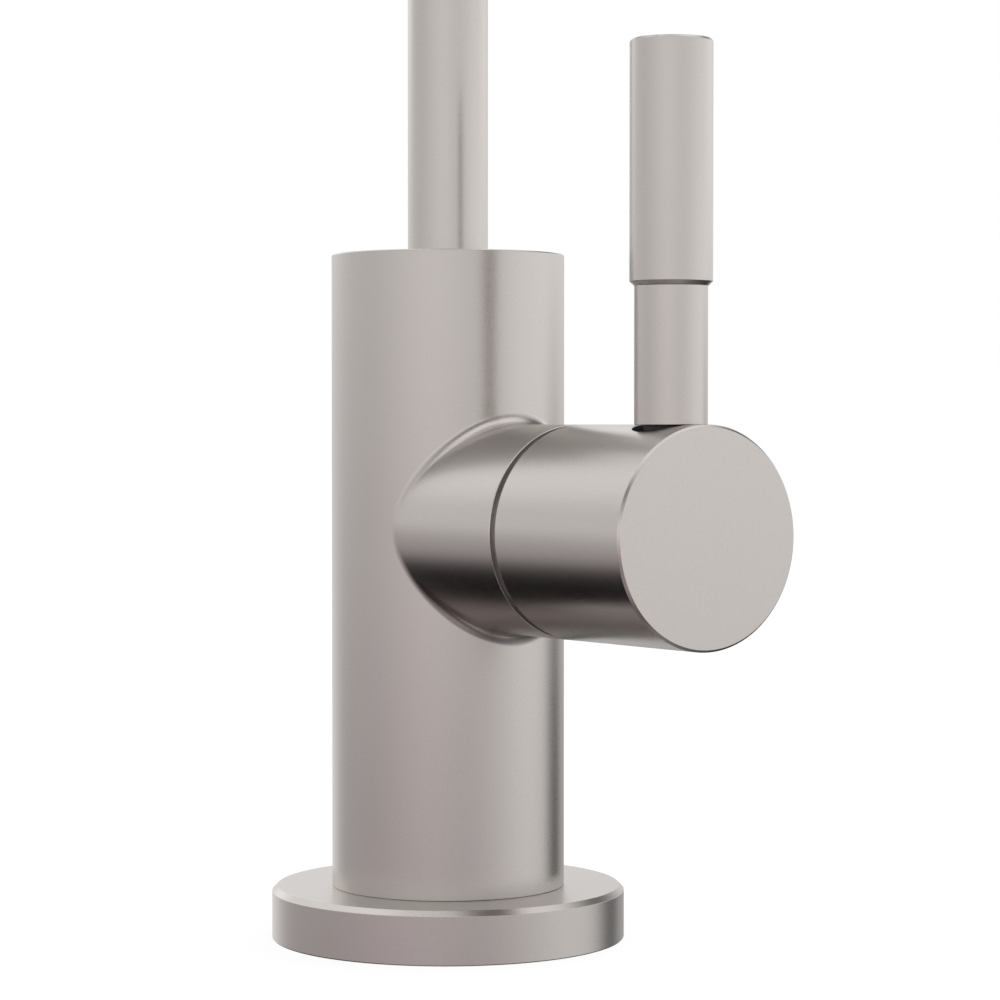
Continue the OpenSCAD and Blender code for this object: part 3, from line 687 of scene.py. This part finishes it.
# Lever: a rod that stands in the hub's well, and the thicker grip screwed on its end
leverShape = {
    "foot": (4.0, 1.3),             # radius, length below the rod
    "footSoft": 0.1,
    "stud": (3.0, 9.0),             # radius, length
    "studSoft": 0.3,
    "rodSoft": 0.15,
    "bevel": (5.35, 0.6),           # radius under the grip, height
    "gripBore": (3.05, 9.4),        # radius, depth
    "gripEdge": 0.35,
    "soft": 0.08,
    "steps": 96,
}
gripLow, gripHigh = nodeBox("lever_grip")
rodR, gripR = rodHigh.y, gripHigh.y
leverNickel = brushedFinish("leverNickel", satinNickel, (leverX, 0, 0))


def makeLever():
    studR, studLength = leverShape["stud"]
    footR, footLength = leverShape["foot"]
    soft, rodSoft = leverShape["soft"], leverShape["rodSoft"]
    footSoft, studSoft = leverShape["footSoft"], leverShape["studSoft"]
    axle, angles = upright(leverX, 0), allRound(leverShape["steps"])
    gripFoot, gripTop = gripLow.z, gripHigh.z
    wellFloor = rodLow.z + studLength
    rodFoot = wellFloor + footLength
    shell = newShell()
    # the stud and the foot, down in the hub's well, are coloured with the painted shade
    shell["finish"] = 1
    revolve(shell, axle, angles, [
        (0, rodLow.z, 0), (studR, rodLow.z, studSoft), (studR, wellFloor, 0),
        (footR, wellFloor, footSoft), (footR, rodFoot, 0)])
    shell["finish"] = 0
    revolve(shell, axle, angles, [
        (footR, rodFoot, 0), (rodR, rodFoot, rodSoft), (rodR, gripFoot, footSoft),
        (studR, gripFoot, 0), (studR, rodHigh.z, studSoft), (0, rodHigh.z, 0)])
    finishShell(shell, "leverRod", [leverNickel, wellPaintedShade, faceNickel],
                "handle", "lever_rod")
    bevelR, bevelHeight = leverShape["bevel"]
    boreR, boreDepth = leverShape["gripBore"]
    edge = leverShape["gripEdge"]
    boreEnd, bevelTop = gripFoot + boreDepth, gripFoot + bevelHeight
    shell = newShell()
    revolve(shell, axle, angles, [
        (0, boreEnd, 0), (boreR, boreEnd, 0), (boreR, gripFoot, 0), (bevelR, gripFoot, soft),
        (gripR, bevelTop, soft), (gripR, gripTop - edge, soft), (gripR - edge, gripTop, soft),
        (0, gripTop, 0)])
    finishShell(shell, "leverGrip", [leverNickel, faceNickel], "handle", "lever_grip")


makeLever()


# Trees that make what follows a path, with a named input for each size
def newTree(name, inputs):
    tree = bpy.data.node_groups.new(name, "GeometryNodeTree")
    tree.interface.new_socket(name="Geometry", in_out="INPUT", socket_type="NodeSocketGeometry")
    for label, kind in inputs.items():
        tree.interface.new_socket(name=label, in_out="INPUT", socket_type="NodeSocket" + kind)
    tree.interface.new_socket(name="Geometry", in_out="OUTPUT", socket_type="NodeSocketGeometry")
    return tree, tree.nodes.new("NodeGroupInput").outputs


# Carries a value along a curve, for use once the curve has become a mesh
def carry(tree, curve, kind, name, value):
    carrier = addNode(tree, "GeometryNodeCaptureAttribute", {"Geometry": curve}, domain="POINT")
    carrier.capture_items.new(kind, name)
    feed(tree, carrier, {name: value})
    return carrier.outputs["Geometry"], carrier.outputs[name]


def endTree(tree, geometry, coat):
    real = addNode(tree, "GeometryNodeRealizeInstances", {"Geometry": geometry})
    dressed = addNode(tree, "GeometryNodeSetMaterial",
                      {"Geometry": real.outputs["Geometry"], "Material": coat})
    addNode(tree, "NodeGroupOutput", {"Geometry": dressed.outputs["Geometry"]})
    return tree


# Runs a tree on an empty mesh and keeps the result as a plain mesh
def grow(name, tree, values):
    seed = addObject(name + "Seed", bpy.data.meshes.new(name + "Seed"))
    modifier = seed.modifiers.new("grow", "NODES")
    modifier.node_group = tree
    identifiers = {s.name: s.identifier for s in tree.interface.items_tree if s.in_out == "INPUT"}
    for label, value in values.items():
        modifier[identifiers[label]] = value
    bpy.context.view_layer.update()
    grown = bpy.data.meshes.new_from_object(seed.evaluated_get(bpy.context.evaluated_depsgraph_get()))
    seed.modifiers.remove(modifier)
    bpy.data.objects.remove(seed)
    grown.name = name
    return addObject(name, grown)


# Gooseneck: a line that rises, bends through half a turn and drops, swept with a round section
tubeLow, tubeHigh = nodeBox("spout_tube")
ferruleLow, ferruleHigh = nodeBox("outlet_ferrule")
spoutNickel = brushedFinish("spoutNickel", satinNickel, attribute="straightened")
gooseneck = {
    "wall": 1.0,
    "hold": 10.3,                   # from the spout's mouth up to the end of the tube
    "points": 180,
    "sides": 96,
}


# Each point lies a length s along the spout, which gives how far it has risen and come forward
def gooseneckTree():
    tree, given = newTree("gooseneckTree", {
        "Tube radius": "Float", "Bend radius": "Float", "Foot": "Float", "Bend height": "Float",
        "Mouth": "Float", "Points": "Int", "Sides": "Int"})
    bendR, bendHeight = given["Bend radius"], given["Bend height"]
    rise = calculate(tree, "SUBTRACT", bendHeight, given["Foot"])
    drop = calculate(tree, "SUBTRACT", bendHeight, given["Mouth"])
    bend = calculate(tree, "MULTIPLY", bendR, math.pi)
    whole = calculate(tree, "ADD", calculate(tree, "ADD", rise, bend), drop)
    line = addNode(tree, "GeometryNodeCurvePrimitiveLine", mode="POINTS")
    stations = addNode(tree, "GeometryNodeResampleCurve",
                       {"Curve": line.outputs["Curve"], "Count": given["Points"]})
    share = addNode(tree, "GeometryNodeSplineParameter").outputs["Factor"]
    s = calculate(tree, "MULTIPLY", share, whole)
    past = calculate(tree, "SUBTRACT", s, rise)
    angle = calculate(tree, "MAXIMUM", calculate(tree, "DIVIDE", past, bendR), 0.0)
    angle = calculate(tree, "MINIMUM", angle, math.pi)
    down = calculate(tree, "MAXIMUM", calculate(tree, "SUBTRACT", past, bend), 0.0)
    up = calculate(tree, "ADD", given["Foot"], calculate(tree, "MINIMUM", s, rise))
    turned = calculate(tree, "SUBTRACT", calculate(tree, "COSINE", angle), 1.0)
    forward = calculate(tree, "MULTIPLY", bendR, turned)
    arch = calculate(tree, "MULTIPLY", bendR, calculate(tree, "SINE", angle))
    height = calculate(tree, "SUBTRACT", calculate(tree, "ADD", up, arch), down)
    place = addNode(tree, "ShaderNodeCombineXYZ", {"Y": forward, "Z": height})
    spine, along = carry(tree, stations.outputs["Curve"], "FLOAT", "Along", s)
    path = addNode(tree, "GeometryNodeSetPosition", {"Geometry": spine, "Position": place.outputs[0]})
    circle = addNode(tree, "GeometryNodeCurvePrimitiveCircle",
                     {"Resolution": given["Sides"], "Radius": given["Tube radius"]}, mode="RADIUS")
    section, around = carry(tree, circle.outputs["Curve"], "VECTOR", "Around",
                            addNode(tree, "GeometryNodeInputPosition").outputs[0])
    sweep = addNode(tree, "GeometryNodeCurveToMesh",
                    {"Curve": path.outputs["Geometry"], "Profile Curve": section})
    smooth = addNode(tree, "GeometryNodeSetShadeSmooth", {"Geometry": sweep.outputs["Mesh"]})
    x, y, _ = addNode(tree, "ShaderNodeSeparateXYZ", {"Vector": around}).outputs
    unbent = addNode(tree, "ShaderNodeCombineXYZ", {"X": x, "Y": y, "Z": along})
    kept = {"Geometry": smooth.outputs["Geometry"], "Name": "straightened", "Value": unbent.outputs[0]}
    stored = addNode(tree, "GeometryNodeStoreNamedAttribute", kept, data_type="FLOAT_VECTOR", domain="POINT")
    return endTree(tree, stored.outputs["Geometry"], spoutNickel)


def makeSpout():
    tubeR = tubeHigh.x
    bendR = (-tubeLow.y - tubeR) / 2
    piece = grow("spoutTube", gooseneckTree(), {
        "Tube radius": tubeR * mm, "Bend radius": bendR * mm, "Foot": tubeLow.z * mm,
        "Bend height": (tubeHigh.z - tubeR - bendR) * mm, "Mouth": (ferruleLow.z + gooseneck["hold"]) * mm,
        "Points": gooseneck["points"], "Sides": gooseneck["sides"]})
    wall = piece.modifiers.new("wall", "SOLIDIFY")
    wall.thickness, wall.offset, wall.use_even_offset = gooseneck["wall"] * mm, -1, True
    placePiece(piece, [spoutNickel], "spout", "spout_tube")


makeSpout()


# Ferrule at the spout's mouth, bored for the tube above and the aerator below
ferruleShape = {
    "edge": 0.5,
    "soft": 0.12,
    "pocket": (7.55, 8.5),          # radius and top of what holds the aerator
    "way": (5.35, 10.0),            # radius and top of the waterway
    "hold": 6.4,
    "steps": 96,
}


def makeFerrule():
    low, high = ferruleLow, ferruleHigh
    x, y, foot = (low.x + high.x) / 2, (low.y + high.y) / 2, low.z
    r, h = high.x - x, high.z - low.z
    edge, soft, hold = ferruleShape["edge"], ferruleShape["soft"], ferruleShape["hold"]
    pocketR, pocketTop = ferruleShape["pocket"]
    wayR, tubeEnd = ferruleShape["way"]
    shell = newShell()
    revolve(shell, upright(x, y, foot), allRound(ferruleShape["steps"]), [
        (pocketR, 0, soft), (r - edge, 0, soft), (r, edge, soft), (r, h - edge, soft), (r - edge, h, soft),
        (hold, h, soft), (hold, tubeEnd, 0), (wayR, tubeEnd, 0), (wayR, pocketTop, 0),
        (pocketR, pocketTop, 0)], ring=True)
    ferruleNickel = brushedFinish("ferruleNickel", satinNickel, (x, y, foot))
    finishShell(shell, "outletFerrule", [ferruleNickel, faceNickel],
                "spout", "outlet_ferrule")


makeFerrule()


# Shank: a ridge that winds up round a turned core, and sinks into it over half a turn at each end
shankShape = {
    "pitch": 1.5,
    "ridge": (0.85, 1.25, 0.25),    # height, width at the root, width at the crest
    "sunk": 0.05,
    "lead": 0.6,                    # chamfer at both ends of the core
    "soft": 0.1,
    "crease": 25,                   # degrees between faces from which an edge stays sharp
    "bore": 12.0,
    "steps": 72,
}


def threadTree(coat):
    tree, given = newTree("threadTree", {
        "Crest": "Float", "Ridge": "Float", "Root width": "Float", "Crest width": "Float",
        "Pitch": "Float", "Turns": "Float", "Foot": "Float", "Steps": "Int"})
    ridge, turns = given["Ridge"], given["Turns"]
    middle = calculate(tree, "SUBTRACT", given["Crest"], calculate(tree, "MULTIPLY", ridge, 0.5))
    climb = calculate(tree, "MULTIPLY", turns, given["Pitch"])
    helix = addNode(tree, "GeometryNodeCurveSpiral", {
        "Resolution": given["Steps"], "Rotations": turns, "Start Radius": middle,
        "End Radius": middle, "Height": climb, "Reverse": True})
    share = addNode(tree, "GeometryNodeSplineParameter").outputs["Factor"]
    fromEnd = calculate(tree, "MINIMUM", share, calculate(tree, "SUBTRACT", 1.0, share))
    risen = calculate(tree, "MULTIPLY", fromEnd, calculate(tree, "MULTIPLY", turns, 2.0), clamp=True)
    sink = calculate(tree, "MULTIPLY", calculate(tree, "SUBTRACT", risen, 1.0), ridge)
    place = addNode(tree, "GeometryNodeInputPosition").outputs["Position"]
    flat = addNode(tree, "ShaderNodeVectorMath", {0: place, 1: (1, 1, 0)}, operation="MULTIPLY")
    outward = addNode(tree, "ShaderNodeVectorMath", {0: flat.outputs[0]}, operation="NORMALIZE")
    inset = addNode(tree, "ShaderNodeVectorMath", {0: outward.outputs[0], "Scale": sink}, operation="SCALE")
    wound = addNode(tree, "GeometryNodeSetPosition",
                    {"Geometry": helix.outputs["Curve"], "Offset": inset.outputs[0]})
    level = addNode(tree, "GeometryNodeSetCurveNormal", {"Curve": wound.outputs["Geometry"]}, mode="Z_UP")
    section = addNode(tree, "GeometryNodeCurvePrimitiveQuadrilateral", {
        "Height": ridge, "Bottom Width": given["Root width"], "Top Width": given["Crest width"],
        "Offset": 0.0}, mode="TRAPEZOID")
    crestOut = addNode(tree, "GeometryNodeTransform",
                       {"Geometry": section.outputs["Curve"], "Rotation": (0, 0, -turn / 4)})
    sweep = addNode(tree, "GeometryNodeCurveToMesh", {
        "Curve": level.outputs["Curve"], "Profile Curve": crestOut.outputs["Geometry"], "Fill Caps": True})
    foot = addNode(tree, "ShaderNodeCombineXYZ", {"Z": given["Foot"]})
    raised = addNode(tree, "GeometryNodeTransform",
                     {"Geometry": sweep.outputs["Mesh"], "Translation": foot.outputs["Vector"]})
    smooth = addNode(tree, "GeometryNodeSetShadeSmooth", {"Geometry": raised.outputs["Geometry"]})
    bend = addNode(tree, "GeometryNodeInputMeshEdgeAngle").outputs["Unsigned Angle"]
    corner = calculate(tree, "GREATER_THAN", bend, math.radians(shankShape["crease"]))
    crisp = addNode(tree, "GeometryNodeSetShadeSmooth", {
        "Geometry": smooth.outputs["Geometry"], "Selection": corner, "Shade Smooth": False}, domain="EDGE")
    return endTree(tree, crisp.outputs["Geometry"], coat)


def makeShank():
    low, high = nodeBox("mounting_shank")
    crestR, foot, length = high.x, low.z, high.z - low.z
    ridge, rootWidth, crestWidth = shankShape["ridge"]
    coreR = crestR - ridge + shankShape["sunk"]
    bore, lead, soft = shankShape["bore"], shankShape["lead"], shankShape["soft"]
    brass = finishes["rawBrass"]
    shell = newShell()
    revolve(shell, upright(0, 0, foot), allRound(shankShape["steps"]), [
        (bore, 0, soft), (coreR - lead, 0, soft), (coreR, lead, soft), (coreR, length - lead, soft),
        (coreR - lead, length, soft), (bore, length, soft)], ring=True)
    finishShell(shell, "mountingShank", [brass], "column", "mounting_shank")
    turns = math.floor((length - 2 * lead) / shankShape["pitch"]) - 1  # half a turn is left free at each end
    thread = grow("shankThread", threadTree(brass), {
        "Crest": crestR * mm, "Ridge": ridge * mm, "Root width": rootWidth * mm,
        "Crest width": crestWidth * mm, "Pitch": shankShape["pitch"] * mm,
        "Turns": float(turns), "Steps": shankShape["steps"],
        "Foot": (foot + (length - turns * shankShape["pitch"]) / 2) * mm})
    placePiece(thread, [brass], "column", "mounting_shank")


makeShank()


# Nodes whose shape is right keep it, and take a finish by their slot
finishOfSlot = {
    "satin_nickel": columnNickel,
    "raw_brass": finishes["rawBrass"],
    "plated_steel": finishes["platedSteel"],
    "black_rubber": finishes["blackRubber"],
    "dark_acetal": finishes["darkAcetal"],
    "pale_nylon": finishes["paleNylon"],
    "ceramic": finishes["whiteCeramic"],
}
for name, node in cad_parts.items():
    if not node.hide_render:
        slot = node.material_slots[0].material.name.split(".")[0]
        finish = finishes["sealRingAcetal"] if name == "seam_ring" else finishOfSlot[slot]
        node.material_slots[0].material = finish
        print("dressed", name, "in", finish.name)


# Studio: pale floor, white round the camera's view, and a grey surround that only gloss sees.
# Bearings run anticlockwise from the handle's side, heights up from the horizon, both in degrees.
studio = {
    "floorHalf": 4,                    # metres
    "paper": (0.94, 0.94, 0.94, 1),
    "paperRoughness": 0.9,
    "floorShare": 0.78,                # how much of the floor the camera sees as plain white
    "floorWhite": 1.08,
    "diffuse": 0.9,                    # level for rays that are neither the camera's nor gloss
    "tableTint": (1.15, 0.948, 1.01),  # the table's colour, seen in gloss below the horizon
    "tintFade": (1, -12),              # heights where it starts and is full
    "tintReach": (-70, 130),           # bearing and half width of the tinted side
    "walls": [  # height, level
        (-90, 0.6), (-70, 0.2), (-50, 0.04), (-38, 0.0), (-22, 0.0), (-14, 0.45), (-6, 0.5), (3, 0.85),
        (14, 0.7), (26, 0.7), (34, 0.5), (46, 1.05), (68, 1.2), (84, 0.7), (90, 0.65)],
    "panels": {  # bearing, height, half width, half height, level added
        "tableBounce": (50, -16, 75, 60, 0.42),
        "frontTable": (-50, -36, 65, 24, 0.42),
        "leftSoftbox": (-45, 6, 80, 20, 0.35),
        "backSoftbox": (-162, 32, 36, 21, 0.55),
        "leftSheet": (-178, 14, 35, 12, 0.80),
        "backTable": (165, -9, 42, 12, 0.50),
        "farTable": (150, -23, 16, 12, 0.90),
        "backSheet": (150, 16, 30, 20, 0.18),
        "highSheet": (152, 24, 20, 12, 0.55),
        "rightSheet": (95, 8, 42, 14, 0.38),
        "rightFlag": (94, -7, 24, 12, -0.75),
        "cameraHood": (-25, 33, 100, 20, -0.50),
        "rightShade": (98, 22, 30, 12, -0.35),
        "rightHood": (100, 34, 45, 20, -0.50),
    },
}


# 1 for the camera, also through glass, and 1 for gloss
def whoLooks(tree):
    seen = addNode(tree, "ShaderNodeLightPath").outputs
    plain = calculate(tree, "MAXIMUM", seen["Is Camera Ray"], seen["Is Transmission Ray"])
    return plain, seen["Is Glossy Ray"]


def makeFloor():
    half = studio["floorHalf"]
    corners = [Vector((x * half, y * half, 0)) for x, y in ((-1, -1), (1, -1), (1, 1), (-1, 1))]
    mesh = bpy.data.meshes.new("floor")
    mesh.from_pydata(corners, [], [(0, 1, 2, 3)])
    floor = addObject("floor", mesh)
    floor.visible_glossy = False
    finish, tree, shader = newFinish("floorPaper")
    feed(tree, shader, {"Base Color": studio["paper"], "Roughness": studio["paperRoughness"]})
    white = addNode(tree, "ShaderNodeEmission", {"Strength": studio["floorWhite"]})
    plain, _ = whoLooks(tree)
    mixed = addNode(tree, "ShaderNodeMixShader", {
        "Fac": calculate(tree, "MULTIPLY", plain, studio["floorShare"]),
        1: shader.outputs[0], 2: white.outputs[0]})
    feed(tree, tree.nodes["Material Output"], {"Surface": mixed.outputs[0]})
    mesh.materials.append(finish)


def wallLevel(tree, height):
    walls = studio["walls"]
    low, high = walls[0][0], walls[-1][0]
    full = max(level for _, level in walls)  # a ramp holds levels up to 1
    ramp = addNode(tree, "ShaderNodeValToRGB", {
        "Fac": calculate(tree, "DIVIDE", calculate(tree, "SUBTRACT", height, low), high - low)})
    marks = ramp.color_ramp.elements
    marks[1].position = 1.0
    for place, _ in walls[1:-1]:
        marks.new((place - low) / (high - low))
    for mark, (_, level) in zip(marks, walls):
        mark.color = (level / full, level / full, level / full, 1)
    return calculate(tree, "MULTIPLY", ramp.outputs["Color"], full)


# 1 at the middle of a panel, and 0 from its reach on, in degrees
def fadeAway(tree, value, middle, reach):
    distance = calculate(tree, "WRAP", calculate(tree, "SUBTRACT", value, middle), 180, -180)
    ends = {"Value": calculate(tree, "ABSOLUTE", distance), "From Min": reach, "From Max": 0}
    return addNode(tree, "ShaderNodeMapRange", ends, interpolation_type="SMOOTHSTEP").outputs[0]


def panelLevel(tree, bearing, height, panel):
    middle, middleHeight, halfWidth, halfHeight, level = panel
    across, up = fadeAway(tree, bearing, middle, halfWidth), fadeAway(tree, height, middleHeight, halfHeight)
    return calculate(tree, "MULTIPLY", calculate(tree, "MULTIPLY", across, up), level)


def makeSurround():
    world = bpy.data.worlds.new("studio")
    world.use_nodes = True
    tree = world.node_tree
    ray = addNode(tree, "ShaderNodeTexCoord").outputs["Generated"]
    x, y, z = addNode(tree, "ShaderNodeSeparateXYZ", {0: ray}).outputs
    bearing = calculate(tree, "DEGREES", calculate(tree, "ARCTAN2", y, x))
    height = calculate(tree, "DEGREES", calculate(tree, "ARCSINE", z))
    level = wallLevel(tree, height)
    for panel in studio["panels"].values():
        level = calculate(tree, "ADD", level, panelLevel(tree, bearing, height, panel))
    level = calculate(tree, "MAXIMUM", level, 0)
    plain, glossy = whoLooks(tree)
    other = calculate(tree, "SUBTRACT", 1, calculate(tree, "MAXIMUM", plain, glossy))
    soft = calculate(tree, "MULTIPLY_ADD", other, studio["diffuse"], plain)
    high, low = studio["tintFade"]
    fade = addNode(tree, "ShaderNodeMapRange", {"Value": height, "From Min": high, "From Max": low})
    tinted = calculate(tree, "MULTIPLY", fade.outputs[0], fadeAway(tree, bearing, *studio["tintReach"]))
    tint = addNode(tree, "ShaderNodeMixRGB", {
        "Fac": calculate(tree, "MULTIPLY", tinted, glossy),
        "Color1": (1, 1, 1, 1), "Color2": (*studio["tableTint"], 1)})
    feed(tree, tree.nodes["Background"], {
        "Color": tint.outputs[0], "Strength": calculate(tree, "MULTIPLY_ADD", glossy, level, soft)})
    bpy.context.scene.world = world


# A soft lamp high behind the handle's side, aimed at the column's foot
lampShape = {"size": (1.2, 0.9), "power": 6.0, "place": (0.9, 0.9, 1.5)}


def makeLamp():
    light = bpy.data.lights.new("softbox", "AREA")
    light.shape, light.energy = "RECTANGLE", lampShape["power"]
    light.size, light.size_y = lampShape["size"]
    lamp = addObject("softbox", light)
    lamp.location = lampShape["place"]
    lamp.rotation_euler = (-lamp.location).to_track_quat("-Z", "Y").to_euler()
    lamp.visible_glossy = False


# The camera that was fitted to the photograph's edges, in metres, with its tilt in degrees
view = {
    "place": (0.3909, -0.2681, 0.0814),
    "ahead": (-0.8147, 0.5799),
    "down": 1.445,
    "lens": 107.3,
    "near": 0.01,
}


def makeCamera():
    camera = addObject("camera", bpy.data.cameras.new("camera"))
    camera.data.lens, camera.data.clip_start = view["lens"], view["near"]
    camera.location = view["place"]
    tilt = math.radians(view["down"])
    x, y = view["ahead"]
    ahead = Vector((x * math.cos(tilt), y * math.cos(tilt), -math.sin(tilt)))
    camera.rotation_euler = ahead.to_track_quat("-Z", "Y").to_euler()
    bpy.context.scene.camera = camera


makeFloor()
makeSurround()
makeLamp()
makeCamera()
bpy.context.scene.view_settings.view_transform = "Standard"
print("studio made")
